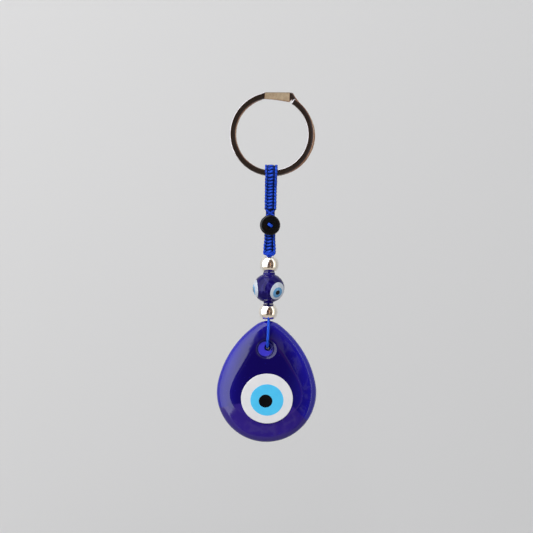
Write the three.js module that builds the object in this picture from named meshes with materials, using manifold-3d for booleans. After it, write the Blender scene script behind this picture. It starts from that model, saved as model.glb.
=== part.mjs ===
// Evil eye key ring charm: a split ring, a knotted strap with a button bead, three beads on a
// doubled cord, and a glass drop with an eye. Millimetres, +Z up, the front faces -Y.
// The origin is the top of the split ring's opening, where the charm hangs.

import * as THREE from "three";
import { mergeVertices } from "three/addons/utils/BufferGeometryUtils.js";
import Module from "manifold-3d";

const wasm = await Module();
wasm.setup();

// Split ring: two flat turns of wire, joined at the top by a straight step that is pressed wider.
const RING_INNER_R = 12;
const RING_OUTER_R = 14;
const RING_COIL_THICKNESS = 1.1;
const RING_COIL_PITCH = 1.2;
const RING_CHAMFER = 0.3;
const RING_FRONT_START_DEG = 31.6;
const RING_FRONT_END_DEG = 343.5;
const RING_REAR_START_DEG = 402;
const RING_REAR_END_DEG = 702;
// Stations along the step: the middle of the wire from the ring's centre, its lean, half its width.
const RING_STEP = [
  { x: -2.7, y: -0.6, z: 12.82, lean: 6, half: 1.1 },
  { x: -0.7, y: -0.31, z: 12.85, lean: 4, half: 1.13 },
  { x: 1.4, y: -0.01, z: 12.83, lean: 2, half: 1.22 },
  { x: 3.5, y: 0.3, z: 12.69, lean: 1, half: 1.4 },
  { x: 5.6, y: 0.6, z: 12.53, lean: 0, half: 1.57 },
  { x: 6.5, y: 0.6, z: 12.75, lean: 8, half: 1.2 },
  { x: 7.25, y: 0.6, z: 11.45, lean: 28, half: 1.0 },
];
const RING_Z = -RING_INNER_R;

// Knotted strap: one braid, folded over the ring's wire, with two core cords inside.
const STRAP_WIDTH = 3.8;
const STRAP_THICKNESS = 1.4;
const STRAP_CHAMFER = 0.4;
const STRAP_WIRE_Z = RING_Z - (RING_INNER_R + RING_OUTER_R) / 2;
const STRAP_FOLD_R = 2.28;
const STRAP_LEG_Y = 0.75;
const STRAP_CONVERGE = 5.5;
const STRAP_END_Z = -36.9;
const DOUBLE_KNOT_PITCH = 2.14;
const KNOT_WAIST_X = 0.94;
const KNOT_WAIST_Y = 0.88;
const CORE_X = 0.75;
const CORE_R = 0.4;
const CORE_CHANNEL_R = 0.45;

// Crossing cords between the two braids.
const CROSS_TOP_Z = -37.7;
const CROSS_BOTTOM_Z = -39.2;
const CROSS_X = 0.85;
const CROSS_Y = 0.45;
const CROSS_R = 0.4;

// Lower braid, and the knot that gathers it into the first bead.
const LOWER_TOP_Z = -39.6;
const LOWER_END_Z = -51.7;
const LOWER_WIDTH = 3.8;
const LOWER_BULGE = 0.5;
const LOWER_THICKNESS = 1.6;
const KNOT_BALL_Z = -52.5;
const KNOT_BALL_R = 0.72;

// Button bead sewn on the strap's front.
const BUTTON_R = 3.4;
const BUTTON_Z = -42.3;
const BUTTON_BACK_Y = -1.1;
const BUTTON_FRONT_Y = -3.2;
const BUTTON_BEVEL = 0.5;
const BUTTON_HOLE_R = 0.8;
const STITCH_R = 0.42;
const STITCH_HEAD_R = 0.8;
const STITCH_STRETCH = 1.25;

// Beads on the doubled cord.
const CORD_R = 0.45;
const CORD_Y = 0.5;
const BEAD_HOLE_R = 1.15;
const SILVER_R = 3.15;
const SILVER_MOUTH_R = 1.95;
const SILVER_MOUTH_DEPTH = 0.8;
const UPPER_SILVER_TOP_Z = -52.85;
const UPPER_SILVER_BOTTOM_Z = -57.95;
const EYE_BEAD_TOP_Z = -58.0;
const EYE_BEAD_BOTTOM_Z = -68.5;
const LOWER_SILVER_TOP_Z = -68.55;
const LOWER_SILVER_BOTTOM_Z = -73.75;
const CORD_TOP_Z = -53.35;
const CORD_CUT_Z = -72.5;
const CORD_CUT_GAP = 0.1;

// Eye bead: round glass with a collar at the top and a neck at the bottom, three eyes round it.
const EYE_BEAD_R = 5.25;
const EYE_BEAD_HALF_HEIGHT = 4.9;
const EYE_COLLAR_R = 2;
const EYE_NECK_R = 1.65;
const EYES = [
  { azimuth: 42, drop: 13 },
  { azimuth: 162, drop: 9 },
  { azimuth: 282, drop: 4 },
];
const EYE_LAYERS = [
  { name: "white", color: 0xf2f4f6, radius: 3.0, floor: 3.9, proud: 0.04, turn: 0, dip: 0 },
  { name: "light_blue", color: 0x3fb6ee, radius: 1.85, floor: 4.45, proud: 0.07, turn: -3, dip: 4 },
  { name: "pupil", color: 0x08080c, radius: 0.82, floor: 4.85, proud: 0.1, turn: -5, dip: 3 },
];
const LAYER_GAP = 0.03;
const EYE_SIDES = 18;

// Glass drop: a flat slab with an egg outline made of three tangent arcs, and rounded edges.
const DROP_TOP_Z = -74.15;
const DROP_BOTTOM_R = 16.6;
const DROP_BOTTOM_DEPTH = 23.85;
const DROP_TOP_R = 6.3;
const DROP_FLANK_R = 32;
const DROP_FRONT = 3.8;
const DROP_BACK = 3.0;
const DROP_FRONT_ROUND = 5.6;
const DROP_BACK_ROUND = 3.0;
const DROP_ROUND_STEPS = 5;
const HOLE_DEPTH = 8.95;
const HOLE_R = 0.95;
const HOLE_BACK_R = 1.3;
const HOLE_BACK_DEPTH = 0.4;
const DISH_X = -0.35;
const DISH_DROP = 0.55;
const DISH_R = 3.2;
const DISH_FLOOR_R = 2.4;
const DISH_DEPTH = 1.1;
const HOLE_Z = DROP_TOP_Z - HOLE_DEPTH;

// The drop's eye: three fused discs let into the front, each into the one below it.
const DROP_EYE_Z = DROP_TOP_Z - 25.85;
const DROP_EYE_LAYERS = [
  { name: "white", color: 0xf4f6f8, radius: 8.65, floor: 2.7, proud: 0.12, x: 0, z: 0 },
  { name: "light_blue", color: 0x46bdf2, radius: 5.5, floor: 3.2, proud: 0.2, x: 0, z: -0.45 },
  { name: "pupil", color: 0x07070a, radius: 2.25, floor: 3.5, proud: 0.28, x: -0.35, z: -0.8 },
];
const DROP_EYE_SQUASH = 0.955;
const DROP_EYE_EDGE = 0.22;
const DROP_EYE_SIDES = 30;

const CORD_BLUE = 0x1c3fd0;
const CORD_LIE = CORD_R + 0.05;

const charm = new THREE.Group();

function add(name, geometry, color, roughness, metalness) {
  const material = new THREE.MeshStandardMaterial({ color, roughness, metalness });
  const mesh = new THREE.Mesh(geometry, material);
  mesh.name = name;
  charm.add(mesh);
  return mesh;
}

// Joins equal loops of points into one closed body, with a fan over each end.
// The loops run counterclockwise about the direction of travel.
function loft(loops) {
  const count = loops[0].length;
  const positions = [];
  const index = [];
  for (const point of loops.flat()) {
    positions.push(point.x, point.y, point.z);
  }
  for (const end of [loops[0], loops.at(-1)]) {
    const middle = new THREE.Vector3();
    for (const point of end) {
      middle.addScaledVector(point, 1 / count);
    }
    positions.push(middle.x, middle.y, middle.z);
  }
  const firstMiddle = loops.length * count;
  const lastMiddle = firstMiddle + 1;
  const lastLoop = (loops.length - 1) * count;
  for (let j = 0; j < count; j++) {
    const k = (j + 1) % count;
    for (let base = 0; base < lastLoop; base += count) {
      index.push(base + j, base + k, base + count + k);
      index.push(base + j, base + count + k, base + count + j);
    }
    index.push(firstMiddle, k, j);
    index.push(lastMiddle, lastLoop + j, lastLoop + k);
  }
  const geometry = new THREE.BufferGeometry();
  geometry.setAttribute("position", new THREE.Float32BufferAttribute(positions, 3));
  geometry.setIndex(index);
  return geometry;
}

function toManifold(geometry) {
  const bare = geometry.clone();
  bare.deleteAttribute("normal");
  bare.deleteAttribute("uv");
  const merged = mergeVertices(bare, 1e-5);
  const solid = new wasm.Mesh({
    numProp: 3,
    vertProperties: new Float32Array(merged.attributes.position.array),
    triVerts: new Uint32Array(merged.index.array),
  });
  return new wasm.Manifold(solid);
}

function fromManifold(solid) {
  const mesh = solid.getMesh();
  const geometry = new THREE.BufferGeometry();
  geometry.setAttribute("position", new THREE.BufferAttribute(mesh.vertProperties, 3));
  geometry.setIndex(new THREE.BufferAttribute(mesh.triVerts, 1));
  return geometry;
}

function cut(geometry, tools) {
  let solid = toManifold(geometry);
  for (const tool of tools) {
    solid = solid.subtract(toManifold(tool));
  }
  return fromManifold(solid);
}

// A body turned about the Y axis from [radius, height] points that close on themselves.
function turned(points, segments) {
  const profile = points.map(([x, y]) => new THREE.Vector2(x, y));
  if (profile[0].x > 0) {
    profile.push(profile[0].clone());
  }
  return new THREE.LatheGeometry(profile, segments);
}

// A rectangle's outline with its corners taken off, counterclockwise.
function chamferedRectangle(width, height, chamfer) {
  const x = width / 2;
  const y = height / 2;
  const quarter = [[x, y - chamfer], [x - chamfer, y]];
  const turns = [[1, 1], [-1, 1], [-1, -1], [1, -1]];
  return turns.flatMap(([signX, signY]) => {
    const corner = quarter.map(([a, b]) => new THREE.Vector2(signX * a, signY * b));
    return signX * signY > 0 ? corner : corner.reverse();
  });
}

function circle(radius, sides) {
  const points = [];
  for (let i = 0; i < sides; i++) {
    const angle = (2 * Math.PI * (i + 0.5)) / sides;
    points.push(new THREE.Vector2(radius * Math.cos(angle), radius * Math.sin(angle)));
  }
  return points;
}

// A round cord along a curve, with flat ends.
function cordAlong(points, radius, steps) {
  const path = new THREE.CatmullRomCurve3(points, false, "centripetal");
  const section = new THREE.Shape(circle(radius, 8));
  return new THREE.ExtrudeGeometry(section, { steps, bevelEnabled: false, extrudePath: path });
}

// ---- Split ring ----

// A run of stations round one turn of the ring.
function ringTurn(fromDeg, toDeg, steps, y) {
  const stations = [];
  const middleR = (RING_INNER_R + RING_OUTER_R) / 2;
  for (let i = 0; i <= steps; i++) {
    const lean = fromDeg + ((toDeg - fromDeg) * i) / steps;
    const angle = THREE.MathUtils.degToRad(lean);
    const half = (RING_OUTER_R - RING_INNER_R) / 2;
    stations.push({ x: middleR * Math.sin(angle), y, z: middleR * Math.cos(angle), lean, half });
  }
  return stations;
}

function ringLoop({ x, y, z, lean, half }) {
  const angle = THREE.MathUtils.degToRad(lean);
  const outward = new THREE.Vector3(Math.sin(angle), 0, Math.cos(angle));
  const section = chamferedRectangle(RING_COIL_THICKNESS, 2 * half, RING_CHAMFER);
  return section.map((corner) => {
    const point = new THREE.Vector3(x, y + corner.x, RING_Z + z);
    return point.addScaledVector(outward, corner.y);
  });
}

const ringStations = [
  ...ringTurn(RING_FRONT_START_DEG, RING_FRONT_END_DEG, 45, -RING_COIL_PITCH / 2),
  ...RING_STEP,
  ...ringTurn(RING_REAR_START_DEG, RING_REAR_END_DEG, 43, RING_COIL_PITCH / 2),
];
add("split_ring", loft(ringStations.map(ringLoop)), 0x8d8882, 0.16, 1);

// ---- Strap folded over the ring ----

class StrapLine extends THREE.Curve {
  getPoint(t, target = new THREE.Vector3()) {
    const leg = STRAP_WIRE_Z - STRAP_END_Z;
    const fold = Math.PI * STRAP_FOLD_R;
    const along = t * (2 * leg + fold);
    const fromMiddle = along - leg - fold / 2;
    const side = Math.sign(fromMiddle) || 1;
    const past = Math.abs(fromMiddle) - fold / 2;
    if (past <= 0) {
      const angle = fromMiddle / STRAP_FOLD_R;
      const y = STRAP_FOLD_R * Math.sin(angle);
      return target.set(0, y, STRAP_WIRE_Z + STRAP_FOLD_R * Math.cos(angle));
    }
    const ease = (1 + Math.cos(Math.PI * Math.min(past / STRAP_CONVERGE, 1))) / 2;
    const y = side * (STRAP_LEG_Y + (STRAP_FOLD_R - STRAP_LEG_Y) * ease);
    return target.set(0, y, STRAP_WIRE_Z - past);
  }
}

// Places a flat section across a curve that stays in the YZ plane.
function placeAcross(section, point, tangent, shiftX) {
  const across = new THREE.Vector3(1, 0, 0);
  const out = tangent.clone().cross(across);
  return section.map(({ x, y }) => {
    const placed = point.clone().addScaledVector(across, x + shiftX);
    return placed.addScaledVector(out, y);
  });
}

// Follows a curve with a section that narrows between one double knot and the next.
function knottedLoops(curve, section, widthAt) {
  const steps = 2 * Math.round(curve.getLength() / DOUBLE_KNOT_PITCH);
  const loops = [];
  for (let i = 0; i <= steps; i++) {
    const u = i / steps;
    const waist = i % 2 === 0;
    const scaled = section.map(({ x, y }) => ({
      x: x * widthAt(u) * (waist ? KNOT_WAIST_X : 1),
      y: y * (waist ? KNOT_WAIST_Y : 1),
    }));
    loops.push(placeAcross(scaled, curve.getPointAt(u), curve.getTangentAt(u), 0));
  }
  return loops;
}

// A round rod that follows the same curve, pushed out past both ends by overrun.
function rodLoops(curve, radius, shiftX, overrun, steps) {
  const loops = [];
  for (let i = 0; i <= steps; i++) {
    const u = i / steps;
    const tangent = curve.getTangentAt(u);
    const point = curve.getPointAt(u);
    if (i === 0) {
      point.addScaledVector(tangent, -overrun);
    }
    if (i === steps) {
      point.addScaledVector(tangent, overrun);
    }
    loops.push(placeAcross(circle(radius, 6), point, tangent, shiftX));
  }
  return loops;
}

function braid(curve, section, widthAt, rodSteps) {
  const channels = [-CORE_X, CORE_X].map((x) => {
    return loft(rodLoops(curve, CORE_CHANNEL_R, x, 0.5, rodSteps));
  });
  return cut(loft(knottedLoops(curve, section, widthAt)), channels);
}

function addCores(curve, rodSteps, leftName, rightName) {
  for (const [name, x] of [[leftName, -CORE_X], [rightName, CORE_X]]) {
    add(name, loft(rodLoops(curve, CORE_R, x, 0, rodSteps)), CORD_BLUE, 0.65, 0);
  }
}

const strapLine = new StrapLine();
const strapSection = chamferedRectangle(STRAP_WIDTH, STRAP_THICKNESS, STRAP_CHAMFER);
add("strap_braid", braid(strapLine, strapSection, () => 1, 40), CORD_BLUE, 0.6, 0);
addCores(strapLine, 40, "strap_core_left", "strap_core_right");

// ---- Crossing cords ----

function crossing(name, side) {
  const points = [0, 0.5, 1].map((t) => {
    const x = side * CROSS_X * (2 * t - 1);
    return new THREE.Vector3(x, side * -CROSS_Y, THREE.MathUtils.lerp(CROSS_TOP_Z, CROSS_BOTTOM_Z, t));
  });
  add(name, cordAlong(points, CROSS_R, 4), CORD_BLUE, 0.6, 0);
}

crossing("crossing_cord_front", 1);
crossing("crossing_cord_rear", -1);

// ---- Lower braid ----

const lowerLine = new THREE.LineCurve3(
  new THREE.Vector3(0, 0, LOWER_TOP_Z),
  new THREE.Vector3(0, 0, LOWER_END_Z),
);

function lowerWidth(u) {
  const swell = THREE.MathUtils.smoothstep(u, 0.6, 0.9);
  const round = THREE.MathUtils.smoothstep(1 - u, 0, 0.06);
  return 1 + (LOWER_BULGE / LOWER_WIDTH) * swell - 0.1 * (1 - round);
}

const lowerSection = chamferedRectangle(LOWER_WIDTH, LOWER_THICKNESS, STRAP_CHAMFER);
add("lower_braid", braid(lowerLine, lowerSection, lowerWidth, 1), CORD_BLUE, 0.6, 0);
addCores(lowerLine, 1, "lower_core_left", "lower_core_right");

// The knot narrows from the braid's flat width to a ball that sits in the first bead's mouth.
function endKnotLoops() {
  const rows = [
    [LOWER_END_Z - 0.08, 1.9, 0.75],
    [LOWER_END_Z - 0.25, 1.6, 0.85],
    [LOWER_END_Z - 0.5, 1.1, 0.82],
    [KNOT_BALL_Z, KNOT_BALL_R, KNOT_BALL_R],
  ];
  for (const degrees of [25, 50, 72]) {
    const angle = THREE.MathUtils.degToRad(degrees);
    const radius = KNOT_BALL_R * Math.cos(angle);
    rows.push([KNOT_BALL_Z - KNOT_BALL_R * Math.sin(angle), radius, radius]);
  }
  return rows.map(([z, halfX, halfY]) => {
    const loop = circle(1, 12).map(({ x, y }) => new THREE.Vector3(x * halfX, -y * halfY, z));
    return loop;
  });
}

add("end_knot", loft(endKnotLoops()), CORD_BLUE, 0.6, 0);

// ---- Button bead and the stitch that holds it ----

function buttonProfile() {
  const bevelR = BUTTON_R - BUTTON_BEVEL;
  return [
    [BUTTON_HOLE_R, BUTTON_FRONT_Y + 0.15],
    [BUTTON_HOLE_R + 0.15, BUTTON_FRONT_Y],
    [bevelR, BUTTON_FRONT_Y],
    [BUTTON_R - 0.12, BUTTON_FRONT_Y + 0.35],
    [BUTTON_R, BUTTON_FRONT_Y + 0.7],
    [BUTTON_R, BUTTON_BACK_Y - 0.7],
    [BUTTON_R - 0.12, BUTTON_BACK_Y - 0.35],
    [bevelR, BUTTON_BACK_Y],
    [BUTTON_HOLE_R + 0.15, BUTTON_BACK_Y],
    [BUTTON_HOLE_R, BUTTON_BACK_Y - 0.15],
  ];
}

const button = add("button_bead", turned(buttonProfile(), 30), 0x0b0b0e, 0.12, 0);
button.position.z = BUTTON_Z;

function stitchProfile() {
  const head = BUTTON_FRONT_Y - 0.06;
  return [
    [0, head - 0.5],
    [STITCH_HEAD_R * 0.6, head - 0.42],
    [STITCH_HEAD_R, head - 0.2],
    [STITCH_HEAD_R * 0.92, head],
    [STITCH_R, head],
    [STITCH_R, -LOWER_THICKNESS / 2 - 0.06],
    [0, -LOWER_THICKNESS / 2 - 0.06],
  ];
}

const stitchGeometry = turned(stitchProfile(), 12).scale(STITCH_STRETCH, 1, 0.9);
const stitch = add("button_stitch", stitchGeometry, CORD_BLUE, 0.6, 0);
stitch.rotation.y = Math.PI / 4;
stitch.position.z = BUTTON_Z;

// ---- Silver beads ----

// A ball with flattened poles and a hole that opens into a mouth at each end.
function silverBead(name, top, bottom) {
  const half = (top - bottom) / 2;
  const poleR = Math.sqrt(SILVER_R ** 2 - half ** 2);
  const mouthR = Math.min(SILVER_MOUTH_R, poleR - 0.02);
  const poleAngle = Math.acos(poleR / SILVER_R);
  const profile = [];
  const steps = 8;
  for (let i = 0; i <= steps; i++) {
    const angle = THREE.MathUtils.lerp(-poleAngle, poleAngle, i / steps);
    profile.push([SILVER_R * Math.cos(angle), SILVER_R * Math.sin(angle)]);
  }
  profile.push([mouthR, half]);
  profile.push([BEAD_HOLE_R, half - SILVER_MOUTH_DEPTH]);
  profile.push([BEAD_HOLE_R, SILVER_MOUTH_DEPTH - half]);
  profile.push([mouthR, -half]);
  const bead = add(name, turned(profile, 24).rotateX(Math.PI / 2), 0xd9d2c4, 0.1, 1);
  bead.position.z = (top + bottom) / 2;
}

silverBead("upper_silver_bead", UPPER_SILVER_TOP_Z, UPPER_SILVER_BOTTOM_Z);
silverBead("lower_silver_bead", LOWER_SILVER_TOP_Z, LOWER_SILVER_BOTTOM_Z);

// ---- Eye bead ----

const EYE_BEAD_Z = (EYE_BEAD_TOP_Z + EYE_BEAD_BOTTOM_Z) / 2;

function eyeBeadProfile() {
  const half = (EYE_BEAD_TOP_Z - EYE_BEAD_BOTTOM_Z) / 2;
  const lowAngle = -Math.acos(EYE_NECK_R / EYE_BEAD_R);
  const highAngle = Math.acos(EYE_COLLAR_R / EYE_BEAD_R);
  const profile = [
    [BEAD_HOLE_R, -half + 0.15],
    [BEAD_HOLE_R + 0.12, -half],
    [EYE_NECK_R - 0.1, -half],
    [EYE_NECK_R, -half + 0.15],
  ];
  const steps = 10;
  for (let i = 0; i <= steps; i++) {
    const angle = THREE.MathUtils.lerp(lowAngle, highAngle, i / steps);
    profile.push([EYE_BEAD_R * Math.cos(angle), EYE_BEAD_HALF_HEIGHT * Math.sin(angle)]);
  }
  profile.push([EYE_COLLAR_R, half - 0.2]);
  profile.push([EYE_COLLAR_R - 0.2, half]);
  profile.push([BEAD_HOLE_R + 0.12, half]);
  profile.push([BEAD_HOLE_R, half - 0.15]);
  return profile;
}

// Turns a body made along +Y to point out of the bead at one eye. The layers are a little off centre.
function towardsEye(geometry, eye, layer) {
  geometry.rotateX(Math.PI + THREE.MathUtils.degToRad(eye.drop + layer.dip));
  geometry.rotateZ(THREE.MathUtils.degToRad(eye.azimuth + layer.turn));
  geometry.translate(0, 0, EYE_BEAD_Z);
  return geometry;
}

// A cap of glass: flat below, round above like the bead.
function eyeCap(layer) {
  const profile = [[0, layer.floor], [layer.radius, layer.floor]];
  const outerR = EYE_BEAD_R + layer.proud;
  const rim = Math.asin(layer.radius / outerR);
  for (let i = 0; i <= 3; i++) {
    const angle = rim * (1 - i / 3);
    profile.push([outerR * Math.sin(angle), outerR * Math.cos(angle)]);
  }
  profile[profile.length - 1][0] = 0;
  return turned(profile, EYE_SIDES);
}

// The pocket that a layer sits in, open outwards.
function eyePocket(layer) {
  const radius = layer.radius + LAYER_GAP;
  const floor = layer.floor - LAYER_GAP;
  return turned([[0, floor], [radius, floor], [radius, 8], [0, 8]], EYE_SIDES);
}

const eyeBeadPockets = EYES.map((eye) => towardsEye(eyePocket(EYE_LAYERS[0]), eye, EYE_LAYERS[0]));
const eyeBeadGlass = turned(eyeBeadProfile(), 28).rotateX(Math.PI / 2);
eyeBeadGlass.translate(0, 0, EYE_BEAD_Z);
add("eye_bead_glass", cut(eyeBeadGlass, eyeBeadPockets), 0x10189a, 0.08, 0);

EYES.forEach((eye, number) => {
  EYE_LAYERS.forEach((layer, depth) => {
    let cap = towardsEye(eyeCap(layer), eye, layer);
    if (depth + 1 < EYE_LAYERS.length) {
      const inner = EYE_LAYERS[depth + 1];
      cap = cut(cap, [towardsEye(eyePocket(inner), eye, inner)]);
    }
    add(`bead_eye${number + 1}_${layer.name}`, cap, layer.color, 0.12, 0);
  });
});

// ---- Doubled cord through the beads ----

for (const [name, side] of [["bead_cord_front", -1], ["bead_cord_rear", 1]]) {
  const points = [0, 0.5, 1].map((t) => {
    return new THREE.Vector3(0, side * CORD_Y, THREE.MathUtils.lerp(CORD_TOP_Z, CORD_CUT_Z, t));
  });
  add(name, cordAlong(points, CORD_R, 8), CORD_BLUE, 0.6, 0);
}

// ---- Glass drop ----

// The drop's outline, set in from its edge: bottom circle, two flanks and top circle.
function dropOutline(inset) {
  const bottomToTop = DROP_BOTTOM_DEPTH - DROP_TOP_R;
  const toBottom = DROP_FLANK_R - DROP_BOTTOM_R;
  const toTop = DROP_FLANK_R - DROP_TOP_R;
  const below = (toTop ** 2 - toBottom ** 2 - bottomToTop ** 2) / (2 * bottomToTop);
  const aside = Math.sqrt(toBottom ** 2 - below ** 2);
  const flankZ = DROP_TOP_Z - DROP_BOTTOM_DEPTH - below;
  const lowAngle = Math.atan2(below, aside);
  const highAngle = Math.atan2(below + bottomToTop, aside);
  const arcs = [
    [0, DROP_TOP_Z - DROP_BOTTOM_DEPTH, DROP_BOTTOM_R, Math.PI - lowAngle, 2 * Math.PI + lowAngle, 24],
    [-aside, flankZ, DROP_FLANK_R, lowAngle, highAngle, 7],
    [0, DROP_TOP_Z - DROP_TOP_R, DROP_TOP_R, highAngle, Math.PI - highAngle, 10],
    [aside, flankZ, DROP_FLANK_R, Math.PI - highAngle, Math.PI - lowAngle, 7],
  ];
  const outline = [];
  for (const [x, z, radius, from, to, steps] of arcs) {
    for (let i = 0; i < steps; i++) {
      const angle = from + ((to - from) * i) / steps;
      const reach = radius - inset;
      outline.push([x + reach * Math.cos(angle), z + reach * Math.sin(angle)]);
    }
  }
  return outline;
}

// How far the glass stands from its edge plane at an inset: a quarter ellipse, then flat.
function dropHeight(inset, height, round) {
  const reach = 1 - Math.min(inset / round, 1);
  return height * Math.sqrt(1 - reach ** 2);
}

function dropLoops() {
  const rows = [];
  for (let i = DROP_ROUND_STEPS; i > 0; i--) {
    const angle = (Math.PI / 2) * (i / DROP_ROUND_STEPS);
    rows.push([DROP_BACK_ROUND * (1 - Math.cos(angle)), DROP_BACK * Math.sin(angle)]);
  }
  for (let i = 0; i <= DROP_ROUND_STEPS; i++) {
    const angle = (Math.PI / 2) * (i / DROP_ROUND_STEPS);
    rows.push([DROP_FRONT_ROUND * (1 - Math.cos(angle)), -DROP_FRONT * Math.sin(angle)]);
  }
  return rows.map(([inset, y]) => dropOutline(inset).map(([x, z]) => new THREE.Vector3(x, y, z)));
}

// Cutters for the hole, slightly wider at the back, and for the shallow dish round its front.
function holeCutters() {
  const hole = [
    [0, -DROP_FRONT - 1],
    [HOLE_R, -DROP_FRONT - 1],
    [HOLE_R, DROP_BACK - HOLE_BACK_DEPTH],
    [HOLE_BACK_R + 1, DROP_BACK + 1],
    [0, DROP_BACK + 1],
  ];
  const dish = [
    [0, -DROP_FRONT - 1],
    [DISH_R + 0.6, -DROP_FRONT - 1],
    [DISH_R, -DROP_FRONT],
    [DISH_FLOOR_R, -DROP_FRONT + DISH_DEPTH],
    [0, -DROP_FRONT + DISH_DEPTH],
  ];
  return [
    turned(hole, 24).translate(0, 0, HOLE_Z),
    turned(dish, 28).translate(DISH_X, 0, HOLE_Z - DISH_DROP),
  ];
}

// A disc of the drop's eye, turned about Y, its rim rounded and its face slightly crowned.
function dropEyeDisc(layer) {
  const face = DROP_FRONT + layer.proud;
  const profile = [
    [0, -face],
    [layer.radius * 0.6, -face + 0.02],
    [layer.radius - DROP_EYE_EDGE, -face + 0.05],
    [layer.radius, -face + 0.16],
    [layer.radius, -layer.floor],
    [0, -layer.floor],
  ];
  return turned(profile, DROP_EYE_SIDES);
}

function dropEyePocket(layer) {
  const radius = layer.radius + LAYER_GAP;
  const floor = layer.floor - LAYER_GAP;
  return turned([[0, -6], [radius, -6], [radius, -floor], [0, -floor]], DROP_EYE_SIDES);
}

// The eye is a little wider than tall, and its inner layers sit a little low.
function placeDropEye(geometry, layer) {
  geometry.scale(1, 1, DROP_EYE_SQUASH);
  return geometry.translate(layer.x, 0, DROP_EYE_Z + layer.z);
}

const dropPocket = placeDropEye(dropEyePocket(DROP_EYE_LAYERS[0]), DROP_EYE_LAYERS[0]);
add("pendant_glass", cut(loft(dropLoops()), [...holeCutters(), dropPocket]), 0x0e1496, 0.06, 0);

DROP_EYE_LAYERS.forEach((layer, depth) => {
  let disc = placeDropEye(dropEyeDisc(layer), layer);
  if (depth + 1 < DROP_EYE_LAYERS.length) {
    const inner = DROP_EYE_LAYERS[depth + 1];
    disc = cut(disc, [placeDropEye(dropEyePocket(inner), inner)]);
  }
  add(`pendant_${layer.name}`, disc, layer.color, 0.1, 0);
});

// ---- Cord loop through the drop's hole ----

// Points just off the glass above the hole, on one side, from the edge inwards.
function cordOverGlass(side, height, round) {
  const points = [];
  for (const inset of [0.25, 0.5, 1, 2, 3, 4.2]) {
    const step = 0.01;
    const y = dropHeight(inset, height, round);
    const slope = (dropHeight(inset + step, height, round) - y) / step;
    const out = 1 / Math.hypot(1, slope);
    const lift = CORD_LIE * out;
    points.push(new THREE.Vector3(0, side * (y + lift), DROP_TOP_Z - inset + lift * slope));
  }
  return points;
}

const loopTopZ = CORD_CUT_Z - CORD_CUT_GAP;
const frontLie = -DROP_FRONT - CORD_LIE;
const backLie = DROP_BACK + CORD_LIE;
const holeTop = HOLE_Z + HOLE_R - CORD_LIE - 0.03;
const dishTop = HOLE_Z - DISH_DROP + DISH_R;
const loopPoints = [
  new THREE.Vector3(0, -CORD_Y, loopTopZ),
  new THREE.Vector3(0, -CORD_Y - 0.02, loopTopZ - 0.55),
  new THREE.Vector3(0, -CORD_Y - 0.3, loopTopZ - 1.05),
  ...cordOverGlass(-1, DROP_FRONT, DROP_FRONT_ROUND),
  new THREE.Vector3(0, frontLie, dishTop + 0.7),
  new THREE.Vector3(0, frontLie + 0.02, dishTop - 0.05),
  new THREE.Vector3(0, frontLie + 0.52, holeTop + 1.25),
  new THREE.Vector3(0, frontLie + 1.22, holeTop + 0.2),
  new THREE.Vector3(0, frontLie + 2, holeTop),
  new THREE.Vector3(0, -0.5, holeTop),
  new THREE.Vector3(0, DROP_BACK - HOLE_BACK_DEPTH - 0.25, holeTop),
  new THREE.Vector3(0, DROP_BACK + 0.3, holeTop + 0.25),
  new THREE.Vector3(0, backLie + 0.02, holeTop + 1.1),
  ...cordOverGlass(1, DROP_BACK, DROP_BACK_ROUND).reverse(),
  new THREE.Vector3(0, CORD_Y + 0.3, loopTopZ - 1.05),
  new THREE.Vector3(0, CORD_Y + 0.02, loopTopZ - 0.55),
  new THREE.Vector3(0, CORD_Y, loopTopZ),
];
add("pendant_cord", cordAlong(loopPoints, CORD_R, 56), CORD_BLUE, 0.6, 0);

export default charm;
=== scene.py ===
"""Evil eye key ring charm: the looks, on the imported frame. Metres, +Z up, the front faces -Y."""
import math

import bmesh
import bpy
import numpy as np
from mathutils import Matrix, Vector

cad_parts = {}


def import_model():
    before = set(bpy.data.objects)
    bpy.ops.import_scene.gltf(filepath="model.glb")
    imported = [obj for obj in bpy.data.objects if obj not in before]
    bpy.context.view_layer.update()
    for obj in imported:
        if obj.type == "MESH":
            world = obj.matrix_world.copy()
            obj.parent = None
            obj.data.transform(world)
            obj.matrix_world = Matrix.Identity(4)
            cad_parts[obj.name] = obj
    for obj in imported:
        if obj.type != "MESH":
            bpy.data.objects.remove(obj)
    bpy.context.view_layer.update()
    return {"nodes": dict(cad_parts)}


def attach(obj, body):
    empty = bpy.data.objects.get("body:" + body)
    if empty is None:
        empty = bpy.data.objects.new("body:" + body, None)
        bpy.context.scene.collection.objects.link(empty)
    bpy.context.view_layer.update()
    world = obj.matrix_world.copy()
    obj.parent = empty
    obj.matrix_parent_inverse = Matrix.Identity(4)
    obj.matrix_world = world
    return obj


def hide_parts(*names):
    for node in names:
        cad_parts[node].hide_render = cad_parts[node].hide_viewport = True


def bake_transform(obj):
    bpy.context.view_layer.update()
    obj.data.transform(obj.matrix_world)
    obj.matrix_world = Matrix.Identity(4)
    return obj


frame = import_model()
MM = 0.001
rng = np.random.RandomState(11)


# ---------------------------------------------------------------- camera

def add_object(name, data):
    thing = bpy.data.objects.new(name, data)
    bpy.context.scene.collection.objects.link(thing)
    return thing


def make_camera():
    data = bpy.data.cameras.new("Camera")
    camera = add_object("Camera", data)
    distance, width_seen = 1.2, 0.1777
    data.sensor_width = 36.0
    data.lens = 36.0 * distance / width_seen
    data.clip_start = 0.05
    data.clip_end = 10.0
    camera.location = (-0.0009, -distance, -0.0561)
    camera.rotation_euler = (math.radians(90), math.radians(-1.22), 0.0)
    bpy.context.scene.camera = camera


make_camera()
bpy.context.scene.view_settings.view_transform = "Standard"


# ---------------------------------------------------------------- mesh helpers

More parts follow.
